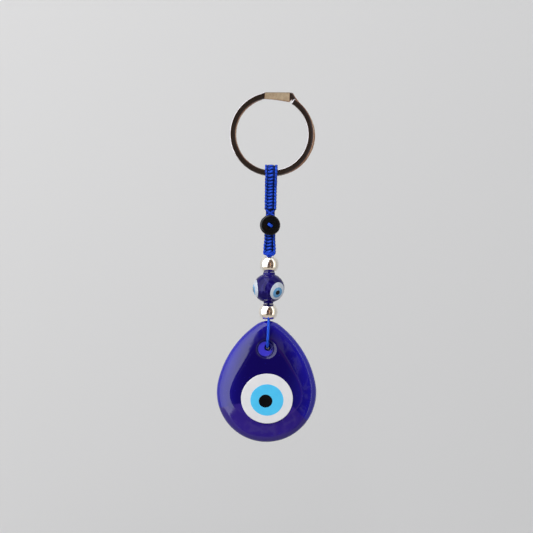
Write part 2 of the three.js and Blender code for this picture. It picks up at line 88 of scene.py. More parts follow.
class Build:
    """Gathers quads and their UVs, then makes one object."""

    def __init__(self):
        self.points = []
        self.faces = []
        self.uvs = []
        self.count = 0

    def grid(self, points, uv, wrap=False):
        """points: rows x columns x 3, joined by quads. wrap joins the last column to the first."""
        rows, columns = points.shape[:2]
        self.points.append(points.reshape(-1, 3))
        base = self.count
        self.count += rows * columns
        last = columns if wrap else columns - 1
        for i in range(rows - 1):
            for j in range(last):
                k = (j + 1) % columns
                a, b = base + i * columns + j, base + i * columns + k
                self.faces.append((a, b, b + columns, a + columns))
                v0, v1 = uv[1][i], uv[1][i + 1]
                u0, u1 = uv[0][j], uv[0][j + 1]
                self.uvs.extend([(u0, v0), (u1, v0), (u1, v1), (u0, v1)])

    def cap(self, ring, backwards=False):
        """Closes a ring of points with a fan."""
        n = len(ring)
        self.points.append(np.vstack([ring, ring.mean(0)[None]]))
        base = self.count
        self.count += n + 1
        for j in range(n):
            k = (j + 1) % n
            face = (base + k, base + j, base + n) if backwards else (base + j, base + k, base + n)
            self.faces.append(face)
            self.uvs.extend([(0.0, 0.0)] * 3)

    def tube(self, path, radius, sides=10, round_ends=True):
        """A tube along a path of points; its UV runs round in u, and along in v by millimetres."""
        path = np.asarray(path, float)
        radius = np.full(len(path), float(radius)) if np.isscalar(radius) else np.asarray(radius, float)
        if round_ends:
            path, radius = rounded_ends(path, radius)
        frames = frames_along(path)
        angle = np.linspace(0, 2 * np.pi, sides, endpoint=False)
        ring = np.stack([np.cos(angle), np.sin(angle)], 1)
        rows = []
        for p, r, (a, b) in zip(path, radius, frames):
            rows.append(p + r * (ring[:, :1] * a + ring[:, 1:] * b))
        along = np.concatenate([[0], np.cumsum(np.linalg.norm(np.diff(path, axis=0), axis=1))])
        self.grid(np.array(rows), (np.linspace(0, 1, sides + 1), along), wrap=True)
        self.cap(rows[0], backwards=True)
        self.cap(rows[-1])

    def lathe(self, profile, segments=96, axis="z", centre=(0, 0, 0), wobble=None, closed=True):
        """Turns [radius, height] rows about an axis. A closed profile joins back on itself."""
        profile = np.asarray(profile, float)
        if closed:
            profile = np.vstack([profile, profile[:1]])
        angle = np.linspace(0, 2 * np.pi, segments, endpoint=False)
        scale = np.ones(segments) if wobble is None else wobble(angle)
        x = profile[:, :1] * np.cos(angle) * scale
        y = profile[:, :1] * np.sin(angle) * scale
        h = np.repeat(profile[:, 1:], segments, axis=1)
        rows = np.stack([x, y, h], 2) if axis == "z" else np.stack([x, h, -y], 2)
        along = np.concatenate([[0], np.cumsum(np.linalg.norm(np.diff(profile, axis=0), axis=1))])
        self.grid(rows + np.array(centre), (np.linspace(0, 1, segments + 1), along), wrap=True)

    def make(self, name, material, place=None, weld=1e-5, sharp=None):
        points = np.vstack(self.points)
        if place is not None:
            points = place(points)
        mesh = bpy.data.meshes.new(name)
        mesh.from_pydata((points * MM).tolist(), [], self.faces)
        layer = mesh.uv_layers.new(name="UVMap")
        layer.data.foreach_set("uv", np.array(self.uvs, np.float32).ravel())
        mesh.materials.append(material)
        thing = add_object(name, mesh)
        tidy(mesh, weld * MM if weld else 0)
        mesh.polygons.foreach_set("use_smooth", [True] * len(mesh.polygons))
        if sharp:
            mesh.set_sharp_from_angle(angle=math.radians(sharp))
        return thing


def tidy(mesh, weld):
    """Welds points closer than the given distance and turns all faces outwards."""
    work = bmesh.new()
    work.from_mesh(mesh)
    if weld:
        bmesh.ops.remove_doubles(work, verts=work.verts, dist=weld)
    bmesh.ops.recalc_face_normals(work, faces=work.faces)
    work.to_mesh(mesh)
    work.free()
    mesh.update()


def rounded_ends(path, radius):
    """Adds a half ball of shrinking rings to both ends of a tube's path."""
    head = path[0] - path[1]
    tail = path[-1] - path[-2]
    head = head / np.linalg.norm(head)
    tail = tail / np.linalg.norm(tail)
    steps = np.radians([80, 55, 28])
    before = [path[0] + head * radius[0] * math.sin(t) for t in steps]
    after = [path[-1] + tail * radius[-1] * math.sin(t) for t in steps[::-1]]
    small = [radius[0] * math.cos(t) for t in steps]
    last = [radius[-1] * math.cos(t) for t in steps[::-1]]
    return np.vstack([before, path, after]), np.concatenate([small, radius, last])


def frames_along(path):
    """Two directions across the path at each point, carried along it without twist."""
    tangent = np.gradient(path, axis=0)
    tangent /= np.maximum(np.linalg.norm(tangent, axis=1, keepdims=True), 1e-9)
    start = np.array([0.0, 0.0, 1.0]) if abs(tangent[0][2]) < 0.9 else np.array([0.0, 1.0, 0.0])
    a = start - tangent[0] * start.dot(tangent[0])
    a /= np.linalg.norm(a)
    frames = []
    for t in tangent:
        a = a - t * a.dot(t)
        a /= np.linalg.norm(a)
        frames.append((a, np.cross(t, a)))
    return frames


def ease(t):
    t = np.clip(t, 0, 1)
    return t * t * (3 - 2 * t)


def smooth_path(points, steps=6):
    """A Catmull-Rom curve through the points."""
    p = np.asarray(points, float)
    p = np.vstack([2 * p[0] - p[1], p, 2 * p[-1] - p[-2]])
    out = []
    for i in range(1, len(p) - 2):
        for t in np.linspace(0, 1, steps, endpoint=False):
            a, b, c, d = p[i - 1], p[i], p[i + 1], p[i + 2]
            out.append(0.5 * (2 * b + (c - a) * t + (2 * a - 5 * b + 4 * c - d) * t * t
                              + (3 * b - a - 3 * c + d) * t ** 3))
    out.append(p[-2])
    return np.array(out)


# ---------------------------------------------------------------- material helpers

def new_material(name):
    material = bpy.data.materials.new(name)
    material.use_nodes = True
    tree = material.node_tree
    tree.nodes.clear()
    out = tree.nodes.new("ShaderNodeOutputMaterial")
    shader = tree.nodes.new("ShaderNodeBsdfPrincipled")
    tree.links.new(shader.outputs[0], out.inputs[0])
    return material, tree, shader


def node(tree, kind, inputs=None, **settings):
    made = tree.nodes.new(kind)
    for key, value in settings.items():
        setattr(made, key, value)
    for key, value in (inputs or {}).items():
        socket = made.inputs[key]
        if isinstance(value, bpy.types.NodeSocket):
            tree.links.new(value, socket)
        else:
            socket.default_value = value
    return made


def ramp(tree, factor, stops):
    made = tree.nodes.new("ShaderNodeValToRGB")
    made.color_ramp.interpolation = "LINEAR"
    elements = made.color_ramp.elements
    while len(elements) < len(stops):
        elements.new(0.5)
    for element, (place, colour) in zip(elements, stops):
        element.position = place
        element.color = (*colour, 1.0)
    tree.links.new(factor, made.inputs[0])
    return made.outputs[0]


def mix(tree, factor, a, b):
    made = tree.nodes.new("ShaderNodeMix")
    made.data_type = "RGBA"
    for socket, value in ((made.inputs[0], factor), (made.inputs[6], a), (made.inputs[7], b)):
        if isinstance(value, bpy.types.NodeSocket):
            tree.links.new(value, socket)
        elif isinstance(value, tuple):
            socket.default_value = (*value, 1.0)
        else:
            socket.default_value = value
    return made.outputs[2]


def math_node(tree, operation, a, b=0.0):
    made = tree.nodes.new("ShaderNodeMath")
    made.operation = operation
    for socket, value in ((made.inputs[0], a), (made.inputs[1], b)):
        if isinstance(value, bpy.types.NodeSocket):
            tree.links.new(value, socket)
        else:
            socket.default_value = value
    return made.outputs[0]


def times(tree, a, b):
    return math_node(tree, "MULTIPLY", a, b)


def plus(tree, a, b):
    return math_node(tree, "ADD", a, b)


def weighted(tree, one, one_share, other, other_share):
    """The sum of two values, each times its share."""
    first = times(tree, one, one_share)
    return plus(tree, first, times(tree, other, other_share))


def stretched(tree, vector, x, y, z):
    """A place scaled by its own amount along each axis."""
    return node(tree, "ShaderNodeMapping", {"Vector": vector, "Scale": (x, y, z)}).outputs[0]


def attribute(tree, name):
    return node(tree, "ShaderNodeAttribute", attribute_name=name).outputs["Fac"]


def noise(tree, vector, scale, detail=3.0, rough=0.5):
    made = node(tree, "ShaderNodeTexNoise", {"Scale": scale, "Detail": detail, "Roughness": rough})
    tree.links.new(vector, made.inputs["Vector"])
    return made.outputs["Fac"]


def bump(tree, height, strength, distance):
    made = node(tree, "ShaderNodeBump", {"Strength": strength, "Distance": distance})
    tree.links.new(height, made.inputs["Height"])
    return made.outputs["Normal"]


def rescale(tree, value, low, high, to_low, to_high):
    """The span from low to high spread over the span from to_low to to_high, and kept inside it."""
    spans = {"Value": value, "From Min": low, "From Max": high, "To Min": to_low, "To Max": to_high}
    return node(tree, "ShaderNodeMapRange", spans).outputs[0]


def mix_shaders(tree, factor, one, other, out):
    """Sends the output one shader where the factor is 0, and the other where it is 1."""
    choose = tree.nodes.new("ShaderNodeMixShader")
    for socket, source in zip(choose.inputs, (factor, one, other)):
        tree.links.new(source, socket)
    tree.links.new(choose.outputs[0], out.inputs[0])


def position(tree):
    return node(tree, "ShaderNodeTexCoord").outputs["Object"]


# ---------------------------------------------------------------- materials

def cord_material(name, light, dark, plies=3.0, lay=0.9, painted_cavity_shade=False):
    """Satin nylon cord: twisted plies and fine filaments, with painted shade in the furrows between plies
    and, when asked, deep in the braid and between knots.
    """
    material, tree, shader = new_material(name)
    uv = node(tree, "ShaderNodeUVMap", uv_map="UVMap").outputs[0]
    split = node(tree, "ShaderNodeSeparateXYZ", {"Vector": uv})
    turns = times(tree, split.outputs[0], plies)
    travel = times(tree, split.outputs[1], lay)
    phase = times(tree, plus(tree, turns, travel), 2 * math.pi)
    ply = math_node(tree, "ABSOLUTE", math_node(tree, "SINE", times(tree, phase, 0.5)))
    stretch = node(tree, "ShaderNodeCombineXYZ", {
        "X": times(tree, plus(tree, turns, travel), 9.0),
        "Y": times(tree, split.outputs[1], 0.9),
    })
    filament = noise(tree, stretch.outputs[0], 3.0, 2.0, 0.6)
    spots = noise(tree, position(tree), 700.0, 2.0)
    height = weighted(tree, ply, 0.6, filament, 0.5)
    tone = weighted(tree, height, 0.75, spots, 0.3)
    # Colour from the ply relief: painted shade in the furrows between plies, with filament and spot tone at
    # random.
    colour = ramp(tree, tone, [(0.15, dark), (0.66, light), (1.0, tuple(min(1.0, c * 1.5) for c in light))])
    # Painted shade: where the open_air mask is low, deep in the braid and between knots, the colour turns
    # near-black.
    if painted_cavity_shade:
        shade = tuple(c * 0.12 for c in dark)
        in_light = ramp(tree, attribute(tree, "open_air"), [(0.60, (0, 0, 0)), (0.98, (1, 1, 1))])
        colour = mix(tree, in_light, shade, colour)
    tree.links.new(colour, shader.inputs["Base Color"])
    rough = node(tree, "ShaderNodeMapRange", {"Value": filament, "To Min": 0.32, "To Max": 0.55})
    tree.links.new(rough.outputs[0], shader.inputs["Roughness"])
    tree.links.new(bump(tree, height, 0.6, 0.00015), shader.inputs["Normal"])
    shader.inputs["Specular IOR Level"].default_value = 0.2
    shader.inputs["Specular Tint"].default_value = (0.5, 0.65, 1.0, 1.0)
    return material


def metal_material(name, colour, dark, rough=(0.05, 0.14), grain=0.2):
    """Polished plate: fine rubbing marks, faint tarnish clouds, small pits."""
    material, tree, shader = new_material(name)
    where = position(tree)
    cloud = noise(tree, where, 260.0, 4.0, 0.6)
    rub = noise(tree, stretched(tree, where, 1.0, 6.0, 1.0), 2200.0, 2.0)
    tone = ramp(tree, cloud, [(0.35, dark), (0.6, colour)])
    tree.links.new(tone, shader.inputs["Base Color"])
    tree.links.new(rescale(tree, rub, 0.0, 1.0, *rough), shader.inputs["Roughness"])
    relief = plus(tree, rub, times(tree, cloud, 2.0))
    tree.links.new(bump(tree, relief, grain, 0.00002), shader.inputs["Normal"])
    shader.inputs["Metallic"].default_value = 1.0
    return material


# The paler blue of a painted reflection over the drop's lower front.
REFLECTION_BLUE = (0.036, 0.018, 0.235)
LIT_BLUE = (0.070, 0.060, 0.76)
# The lighter colour of painted reflection lines on the eye bead.
LINE_REFLECTION_BLUE = (0.040, 0.032, 0.24)


def glass_material(name, deep, edge, streak, gloss=0.5, wave=0.12, reflection_lines=0.0):
    """Deep cobalt glass with drawn streaks and tiny bubbles, and painted light read from the mesh: a glow
    where the glass is thin, a painted reflection, a painted lit patch, and, when asked, painted reflection
    lines over a bump.
    """
    material, tree, shader = new_material(name)
    where = position(tree)
    relief = noise(tree, where, 120.0, 3.0)
    drawn = noise(tree, stretched(tree, where, 1.0, 1.0, 0.25), 420.0, 4.0, 0.62)
    # Painted light: a brighter blue where the glass is thin, standing in for light passing through.
    body = mix(tree, attribute(tree, "thin_glass_glow"), deep, edge)
    # Painted reflection: a paler blue where the mesh marks it.
    body = mix(tree, attribute(tree, "painted_reflection"), body, REFLECTION_BLUE)
    body = mix(tree, attribute(tree, "lit"), body, LIT_BLUE)
    clouded = mix(tree, times(tree, drawn, 0.35), body, streak)
    # Painted reflection: thin, lighter, upright lines in the colour, over a real bump of the same pattern.
    if reflection_lines:
        streak_pattern = noise(tree, stretched(tree, where, 1.0, 1.0, 0.22), 330.0, 2.0, 0.5)
        off_line = math_node(tree, "ABSOLUTE", math_node(tree, "SUBTRACT", streak_pattern, 0.5))
        line = rescale(tree, off_line, 0.004, 0.035, reflection_lines, 0.0)
        clouded = mix(tree, line, clouded, LINE_REFLECTION_BLUE)
        relief = plus(tree, relief, times(tree, streak_pattern, 0.9))
    bubbles = node(tree, "ShaderNodeTexVoronoi", {"Vector": where, "Scale": 620.0})
    dots = rescale(tree, bubbles.outputs["Distance"], 0.04, 0.09, 0.35, 0.0)
    bubble = tuple(min(1.0, c * 1.9 + 0.01) for c in edge)
    tree.links.new(mix(tree, dots, clouded, bubble), shader.inputs["Base Color"])
    tree.links.new(bump(tree, relief, wave, 0.0004), shader.inputs["Normal"])
    shader.inputs["Roughness"].default_value = 0.045
    shader.inputs["IOR"].default_value = 1.45
    shader.inputs["Specular IOR Level"].default_value = gloss
    return material


def enamel_material(name, colour, shade, rough=0.08, scale=300.0, coat=0.3, gloss=0.5):
    """Fused opaque glass: milky clouds, a slightly uneven face."""
    material, tree, shader = new_material(name)
    where = position(tree)
    cloud = noise(tree, where, scale, 5.0, 0.55)
    fine = noise(tree, where, scale * 6, 2.0)
    tone = ramp(tree, weighted(tree, cloud, 0.8, fine, 0.2), [(0.3, shade), (0.62, colour)])
    tree.links.new(tone, shader.inputs["Base Color"])
    tree.links.new(bump(tree, cloud, 0.06, 0.0003), shader.inputs["Normal"])
    tree.links.new(rescale(tree, fine, 0.0, 1.0, rough * 0.8, rough * 1.5), shader.inputs["Roughness"])
    shader.inputs["IOR"].default_value = 1.52
    shader.inputs["Specular IOR Level"].default_value = gloss
    shader.inputs["Coat Weight"].default_value = coat
    shader.inputs["Coat Roughness"].default_value = 0.03
    return material


CORD = cord_material("satin_cord", (0.022, 0.090, 0.72), (0.003, 0.012, 0.17), painted_cavity_shade=True)
CORD_FREE = cord_material("satin_cord_free", (0.018, 0.090, 0.68), (0.004, 0.016, 0.22), plies=4.0, lay=0.55)
# A darker copy of the satin cord: painted shade for the gathered cords at the crossing and the end knot.
CORD_SHADED_COPY = cord_material("satin_cord_knot", (0.014, 0.06, 0.58), (0.003, 0.010, 0.13))
# A near-black copy of the satin cord: painted shade for cords seen only deep inside the braid, the crossing
# and the beads.
CORE_IN_SHADE = cord_material("core_cord_in_shade", (0.004, 0.014, 0.14), (0.001, 0.003, 0.03))
RING = metal_material("nickel_ring", (0.60, 0.57, 0.54), (0.47, 0.43, 0.40))
SILVER = metal_material("silver_bead_plate", (0.93, 0.89, 0.81), (0.84, 0.79, 0.70), (0.03, 0.10), 0.12)
BUTTON = enamel_material("black_button", (0.004, 0.005, 0.005), (0.002, 0.002, 0.003), 0.2, 500.0, 0.06, 0.2)
COBALT = glass_material("cobalt_glass_drop", (0.0045, 0.0018, 0.082), (0.018, 0.015, 0.52),
                        (0.008, 0.003, 0.14), gloss=0.40)
BEAD_COBALT = glass_material("cobalt_glass_bead", (0.0055, 0.0020, 0.088), (0.009, 0.005, 0.15),
                             (0.009, 0.004, 0.14), gloss=0.15, wave=0.4, reflection_lines=0.5)
WHITE = enamel_material("white_glass", (0.80, 0.80, 0.82), (0.75, 0.75, 0.785))
SKY = enamel_material("light_blue_glass", (0.090, 0.60, 0.96), (0.075, 0.54, 0.92))
BEAD_WHITE = enamel_material("bead_white_glass", (0.62, 0.68, 0.76), (0.50, 0.57, 0.68), scale=500.0)
BEAD_SKY = enamel_material("bead_light_blue_glass", (0.10, 0.36, 0.66), (0.07, 0.28, 0.58), scale=500.0)
BLACK = enamel_material("black_glass", (0.005, 0.005, 0.005), (0.002, 0.002, 0.003), 0.1, coat=0.0, gloss=0.2)


def finish(thing, body, slot, *nodes):
    if nodes:
        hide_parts(*nodes)
    if body:
        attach(thing, body)


# ---------------------------------------------------------------- split ring

RING_Z = -12.0
CROWN = 0.022
CORNER, HALF_THICK = 0.12, 0.55
FRONT_STEPS, REAR_STEPS = 170, 160
RING_STEP = [(-2.7, -0.6, 12.78, 6, 1.17), (-0.7, -0.31, 12.77, 4, 1.22), (1.4, -0.01, 12.72, 2, 1.33),
             (3.5, 0.3, 12.60, 1, 1.50), (5.6, 0.6, 12.48, 0, 1.67), (6.5, 0.6, 12.75, 8, 1.2),
             (7.25, 0.6, 11.45, 28, 1.0)]


def ring_turn(start, end, steps, y):
    return [(13 * math.sin(math.radians(d)), y, 13 * math.cos(math.radians(d)), d, 1.0)
            for d in np.linspace(start, end, steps)]


def cut_end(last, before):
    """A smaller section just past the wire's end, so that the cut end has a bevel all round."""
    middle, step = last.mean(0), last.mean(0) - before.mean(0)
    return middle + 0.80 * (last - middle) + 0.14 * step / np.linalg.norm(step)


def wire_section(half):
    """The wire's outline, as places through its thickness and across it: two faces and four corners."""
    flat = HALF_THICK - CROWN - CORNER
    tall = half - CORNER
    section = []
    for side in (-1, 1):
        for v in np.linspace(-1, 1, 9) * -side * tall:
            section.append((side * (HALF_THICK - CROWN * (v / half) ** 2), v))
        for a in np.radians([22, 45, 68]):
            section.append((side * (flat + CORNER * math.cos(a)), -side * (tall + CORNER * math.sin(a))))
        section.append((side * 0.0, -side * half))
        for a in np.radians([68, 45, 22]):
            section.append((-side * (flat + CORNER * math.cos(a)), -side * (tall + CORNER * math.sin(a))))
    return section


def turned(section, angle):
    """A section turned about the wire's own line, by an angle in radians."""
    c, s = math.cos(angle), math.sin(angle)
    return [(u * c + v * s, v * c - u * s) for u, v in section]


def ring_piece():
    """Two flat turns of wire with slightly crowned faces, and the straight, wider step between them."""
    step = []
    for first, second in zip(RING_STEP[:-1], RING_STEP[1:]):
        for t in (0, 0.03, 0.25, 0.5, 0.75, 0.97):
            step.append(tuple(a + (b - a) * t for a, b in zip(first, second)))
    step.append(RING_STEP[-1])
    before = (RING_STEP[0][0] - 0.06,) + RING_STEP[0][1:]
    stations = ring_turn(31.6, 343.5, FRONT_STEPS, -0.6) + [before] + step
    rear_start = len(stations)
    stations += ring_turn(402, 702, REAR_STEPS, 0.6)
    rows = []
    for number, (x, y, z, lean, half) in enumerate(stations):
        outward = np.array([math.sin(math.radians(lean)), 0, math.cos(math.radians(lean))])
        loose = float(ease(max(0, number - rear_start) / 30.0))
        to_right = math.sin(math.radians(lean))
        x, z = x + (0.14 + 0.30 * max(0.0, to_right)) * loose, z - 0.05 * loose
        twist = math.radians(2.3) * to_right * loose
        section = turned(wire_section(half), twist)
        rows.append([outward * v + np.array([x, y + u, RING_Z + z]) for u, v in section])
    rows = np.array(rows)
    first_cut, last_cut = cut_end(rows[0], rows[1]), cut_end(rows[-1], rows[-2])
    rows = np.concatenate([first_cut[None], rows, last_cut[None]])
    build = Build()
    build.grid(rows, (np.linspace(0, 1, rows.shape[1] + 1), np.linspace(0, 150, len(rows))), wrap=True)
    build.cap(rows[0], backwards=True)
    build.cap(rows[-1])
    thing = build.make("split_ring_polished", RING, weld=0, sharp=28)
    finish(thing, "ring", "split_ring", "split_ring")


ring_piece()


# ---------------------------------------------------------------- knotted strap

WIRE_Z, FOLD_R, LEG_Y, CONVERGE = -25.0, 2.28, 0.75, 5.5


def strap_place(end_z):
    """Maps flat strap points (across, along, outwards) onto the strap's folded line."""
    leg = WIRE_Z - end_z
    fold = math.pi * FOLD_R

    def centre(s):
        from_middle = s - leg - fold / 2
        side = np.where(from_middle < 0, -1.0, 1.0)
        past = np.abs(from_middle) - fold / 2
        angle = np.clip(from_middle / FOLD_R, -math.pi / 2, math.pi / 2)
        spread = (1 + np.cos(math.pi * np.clip(past / CONVERGE, 0, 1))) / 2
        leg_y = side * (LEG_Y + (FOLD_R - LEG_Y) * spread)
        y = np.where(past <= 0, FOLD_R * np.sin(angle), leg_y)
        z = np.where(past <= 0, WIRE_Z + FOLD_R * np.cos(angle), WIRE_Z - past)
        return np.stack([np.zeros_like(y), y, z], 1)

    def place(points):
        s = points[:, 1]
        here = centre(s)
        ahead = centre(s + 0.02) - centre(s - 0.02)
        ahead /= np.linalg.norm(ahead, axis=1, keepdims=True)
        out = np.cross(np.array([1.0, 0, 0]), ahead)
        tight = 1 - 0.22 * ease((fold / 2 + 1.5 - np.abs(s - leg - fold / 2)) / 1.2)
        across = points[:, :1] * np.array([1.0, 0, 0])
        return here + across + points[:, 2:] * tight[:, None] * out

    return place, 2 * leg + fold


# Each cord of a knot: points across, along (in pitches) and out of the strap, and its radius.
KNOT_CORDS = (
    # the slanting bar
    ([(-0.98, -0.18, 0.12), (-0.76, -0.12, 0.64), (-0.20, 0.0, 0.80),
      (0.34, 0.10, 0.76), (0.60, 0.18, 0.15)], 0.44),
    # the left loop
    ([(-1.28, 0.44, 0.20), (-1.46, 0.28, 0.68),
      (-1.56, -0.02, 0.70), (-1.42, -0.36, 0.15)], 0.42),
    # the rib beside the bar
    ([(0.98, 0.36, 0.20), (1.04, 0.14, 0.56),
      (1.04, -0.16, 0.56), (0.98, -0.38, 0.20)], 0.20),
    # the right loop
    ([(1.30, 0.42, 0.15), (1.46, 0.22, 0.70),
      (1.50, -0.18, 0.70), (1.34, -0.44, 0.10)], 0.46),
)


def knot_rows(build, start, end, pitch, width, squeeze=0.66):
    """Square knots on a flat strap: a slanting bar over the middle and looped edges, both sides."""
    count = int(round((end - start) / pitch))
    pitch = (end - start) / count
    for i in range(count):
        s = start + (i + 0.5) * pitch
        w = width((i + 0.5) / count)
        swell = 1 + 0.06 * rng.uniform(-1, 1)
        for face in (1.0, -1.0):
            for points, radius in KNOT_CORDS:
                path = np.array(points) + rng.uniform(-0.035, 0.035, (len(points), 3))
                path = smooth_path(path, 4)
                path[:, 0] *= face * w
                path[:, 1] = s + path[:, 1] * pitch
                path[:, 2] *= face
                piece = Build()
                piece.tube(path, radius * swell, 9)
                flat = np.vstack(piece.points)
                flat[:, 2] *= squeeze
                build.points.append(flat)
                build.faces.extend([tuple(v + build.count for v in f) for f in piece.faces])
                build.uvs.extend(piece.uvs)
                build.count += len(flat)


def lining(build, start, end, half_x, half_n, steps):
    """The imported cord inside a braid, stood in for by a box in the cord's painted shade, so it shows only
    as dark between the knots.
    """
    corners = ((-half_x, -half_n), (half_x, -half_n), (half_x, half_n), (-half_x, half_n))
    rows = np.array([[(x, s, n) for x, n in corners] for s in np.linspace(start, end, steps)])
    build.grid(rows, (np.linspace(0, 1, 5), np.linspace(0, end - start, steps)), wrap=True)
    build.cap(rows[0], backwards=True)
    build.cap(rows[-1])


def open_air(build, half_x, half_n):
    """How far out of the braid each point lies: 0 inside, 1 on the knots' crests."""
    flat = np.vstack(build.points)
    out = np.maximum(np.abs(flat[:, 2]) / half_n, 0.9 * (np.abs(flat[:, 0]) - 0.7 * half_x) / (0.3 * half_x))
    return np.clip(out, 0, 1).astype(np.float32)


def set_value(thing, name, values):
    thing.data.attributes.new(name, "FLOAT", "POINT").data.foreach_set("value", values)


def strap_piece():
    place, length = strap_place(-37.3)
    build = Build()
    knot_rows(build, 0.25, length - 0.25, 1.08, lambda t: 1.03 + 0.08 * math.exp(-((t - 0.5) / 0.14) ** 2))
    lining(build, 0.1, length - 0.1, 1.3, 0.26, 90)
    thing = build.make("strap_knots", CORD, place=place, weld=0)
    # open_air drives the cord material's painted shade.
    set_value(thing, "open_air", open_air(build, 2.0, 0.83))
    finish(thing, "upper_strap", "braid_cord", "strap_braid")


strap_piece()


def lower_braid_piece():
    top, bottom = -39.4, -51.75

    def place(points):
        return np.stack([points[:, 0], -points[:, 2], bottom + points[:, 1]], 1)

    def width(t):
        swell = np.clip((0.42 - t) / 0.3, 0, 1)
        return 0.94 + 0.16 * swell * swell * (3 - 2 * swell)

    build = Build()
    length = top - bottom
    knot_rows(build, 0.1, length - 0.1, 1.08, width, squeeze=0.74)
    lining(build, 0.1, length - 0.1, 1.3, 0.3, 20)
    thing = build.make("lower_braid_knots", CORD, place=place, weld=0)
    # open_air drives the cord material's painted shade.
    set_value(thing, "open_air", open_air(build, 1.9, 0.93))
    finish(thing, "lower_strap", "braid_cord", "lower_braid")


lower_braid_piece()


def crossing_piece():
    """The cords that leave the strap's end, cross, and go down into the lower braid."""
    build = Build()
    for side, y in ((1, -0.66), (-1, -0.34), (-1, 0.66), (1, 0.34)):
        points = [(-1.40 * side, y * 1.1, -36.7), (-1.22 * side, y * 1.1, -37.3), (-0.62 * side, y, -37.9),
                  (0.15 * side, y, -38.45), (0.90 * side, y, -38.95), (1.3 * side, y * 0.8, -39.8)]
        build.tube(smooth_path(points, 6), 0.40, 12)
    # Dark filler cords behind the crossing, in the core's painted shade, close the gap between the crossing
    # cords.
    inner = Build()
    for x in (-1.25, -0.42, 0.42, 1.25):
        for y in (-0.66, 0.66):
            reach = 0.15 if y < 0 else -0.15
            points = [(x, y, -36.8), (x * 0.92, reach * 1.6, -37.7),
                      (x * 0.9, reach, -38.6), (x, reach, -39.9)]
            inner.tube(smooth_path(points, 5), 0.38, 10)
    for z in (-37.2, -37.7):
        inner.tube([(-1.0, 0, z), (0, 0, z), (1.0, 0, z)], 0.42, 10)
    for name, cords, material in (("crossing_cords", build, CORD_SHADED_COPY), ("crossing_fillers", inner, CORE_IN_SHADE)):
        thing = cords.make(name, material, weld=0)
        finish(thing, None, "braid_cord", "crossing_cord_front", "crossing_cord_rear")
        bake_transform(thing)


crossing_piece()


def end_knot_piece():
    """The braid's strands gathered into the first bead, with two wraps round them."""
    build = Build()
    for x in (-1.75, -1.1, -0.4, 0.35, 1.05, 1.7):
        for y in (-0.42, 0.42):
            squeeze = 0.42 if abs(x) < 1.2 else 0.36
            points = [(x * 1.03, y, -51.35), (x * 0.98, y * 1.15, -51.8), (x * 0.62, y * 1.1, -52.2),
                      (x * squeeze * 0.9, y * 0.95, -52.55), (x * 0.30, y * 0.8, -53.0),
                      (x * 0.25, y * 0.75, -53.6)]
            build.tube(smooth_path(points, 5), [0.33] * 5 + [0.31] * 5 + [0.28] * 5 + [0.24] * 11, 9)
    for z, half_x, half_y, tilt in ((-51.75, 1.75, 0.62, 0.10), (-52.12, 1.28, 0.66, -0.08)):
        angle = np.linspace(0, 2 * np.pi, 33)
        loop = np.stack([half_x * np.cos(angle), half_y * np.sin(angle), z + tilt * np.cos(angle)], 1)
        build.tube(loop, 0.34, 9, round_ends=False)
    thing = build.make("end_knot_cords", CORD_SHADED_COPY, weld=0)
    finish(thing, None, "braid_cord", "end_knot")
    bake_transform(thing)


end_knot_piece()


# ---------------------------------------------------------------- button bead and stitch

BUTTON_Z = -42.3


def arc(cx, cy, r, start, end, steps):
    return [(cx + r * math.cos(a), cy + r * math.sin(a)) for a in np.radians(np.linspace(start, end, steps))]


def button_piece():
    front, back, rim = -3.2, -1.1, 3.4
    profile = [(0.8, back - 0.18)] + arc(0.98, back - 0.18, 0.18, 180, 90, 5)[1:]
    profile += [(2.4, back)] + arc(rim - 0.6, back - 0.6, 0.6, 90, 0, 9)
    profile += arc(rim - 0.75, front + 0.75, 0.75, 0, -62, 10)
    profile += [(rim - 0.62, front + 0.06), (rim - 0.75, front + 0.02)]
    profile += [(2.0, front + 0.10), (1.3, front + 0.14)]
    profile += arc(1.02, front + 0.36, 0.22, -90, -180, 6)
    build = Build()
    build.lathe(profile, 120, axis="y", centre=(0, 0, BUTTON_Z))
    thing = build.make("button_bead_gloss", BUTTON)
    finish(thing, "button", "button", "button_bead")


button_piece()


# The stitch's route over the button: how far along its slant, and the place from front to rear.
STITCH_ROUTE = ((-0.62, -2.2), (-0.70, -2.95), (-0.66, -3.34), (-0.1, -3.62),
                (0.5, -3.48), (0.66, -3.2), (0.62, -2.2))


def stitch_piece():
    """A short slanting stitch over the button's hole, doubled, with its ends going in."""
    build = Build()
    slant = np.array([-0.62, 0.42])
    for offset in (-0.17, 0.17):
        shift = np.array([0.42, 0.62]) * offset
        points = []
        for t, y in STITCH_ROUTE:
            x, z = slant * t * 1.12 + shift
            points.append((x, y, BUTTON_Z + z))
        build.tube(smooth_path(points, 6), 0.36, 12)
    build.tube([(0, -3.0, BUTTON_Z), (0, -2.0, BUTTON_Z), (0, -0.7, BUTTON_Z)], 0.5, 12)
    build.tube([(0.0, -3.0, BUTTON_Z), (0, -3.15, BUTTON_Z), (0, -3.3, BUTTON_Z)], 0.5, 12)
    thing = build.make("button_stitch_cord", CORD_FREE, weld=0)
    finish(thing, "lower_strap", "braid_cord", "button_stitch")


stitch_piece()


# ---------------------------------------------------------------- silver beads

